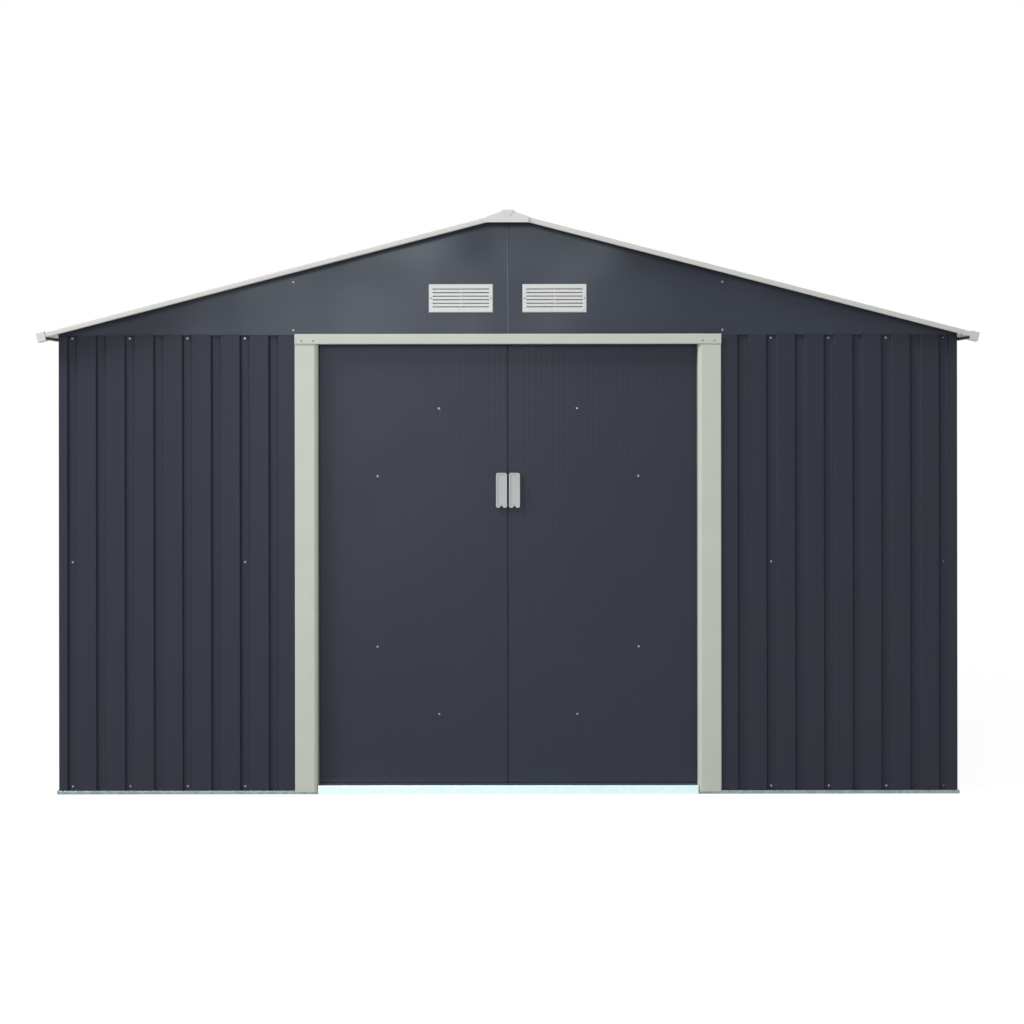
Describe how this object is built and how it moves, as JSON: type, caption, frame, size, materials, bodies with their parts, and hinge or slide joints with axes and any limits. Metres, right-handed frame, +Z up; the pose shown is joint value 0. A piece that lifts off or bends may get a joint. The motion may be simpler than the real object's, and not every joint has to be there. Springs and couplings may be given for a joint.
{
  "type": "metal storage shed",
  "caption": "Ribbed sheet-steel garden shed with a low pitched roof, louvred gable vents and paired sliding doors hung on rollers behind the front wall.",
  "frame": {"origin": "on the ground at the middle of the plan", "axes": "+X to the right seen from the front, +Y to the back, +Z up"},
  "size_m": [3.3612, 2.7814, 2.0933],
  "materials": {
    "panel_steel": "satin anthracite coat",
    "galvanised_steel": "zinc spangle",
    "sill_steel": "pale coat",
    "frame_steel": "satin pale grey coat",
    "white_plastic": "moulded",
    "grey_plastic": "moulded"
  },
  "bodies": {
    "shed": {"back_base_rail": "galvanised_steel", "back_gable_left": "panel_steel", "back_gable_right": "panel_steel", "back_roof_trims": "frame_steel", "back_top_rail": "galvanised_steel", "back_vents": "white_plastic", "back_wall": "panel_steel", "corner_posts": "panel_steel", "door_guide_rail": "galvanised_steel", "door_sill": "sill_steel", "door_track": "galvanised_steel", "eave_end_caps": "white_plastic", "eave_trims": "frame_steel", "front_base_rails": "galvanised_steel", "front_gable_left": "panel_steel", "front_gable_right": "panel_steel", "front_left_vent": "white_plastic", "front_right_vent": "white_plastic", "front_roof_trims": "frame_steel", "front_wall_left": "panel_steel", "front_wall_right": "panel_steel", "header": "frame_steel", "left_jamb": "frame_steel", "left_roof": "panel_steel", "left_wall": "panel_steel", "purlins": "galvanised_steel", "ridge_beam": "galvanised_steel", "ridge_cap": "panel_steel", "ridge_end_caps": "white_plastic", "right_jamb": "frame_steel", "right_roof": "panel_steel", "right_wall": "panel_steel", "side_base_rails": "galvanised_steel", "side_top_rails": "galvanised_steel", "wall_braces": "galvanised_steel"},
    "left_door": {"left_door_leaf": "panel_steel", "left_door_stiffeners": "galvanised_steel", "left_door_hangers": "galvanised_steel", "left_door_guides": "grey_plastic", "left_door_handle": "grey_plastic"},
    "right_door": {"right_door_leaf": "panel_steel", "right_door_stiffeners": "galvanised_steel", "right_door_hangers": "galvanised_steel", "right_door_guides": "grey_plastic", "right_door_handle": "grey_plastic"}
  },
  "joints": [
    {"name": "left_door_slide", "type": "slide", "parent": "shed", "child": "left_door", "axis": [-1, 0, 0], "range_m": [0, 0.63]},
    {"name": "right_door_slide", "type": "slide", "parent": "shed", "child": "right_door", "axis": [1, 0, 0], "range_m": [0, 0.63]}
  ]
}
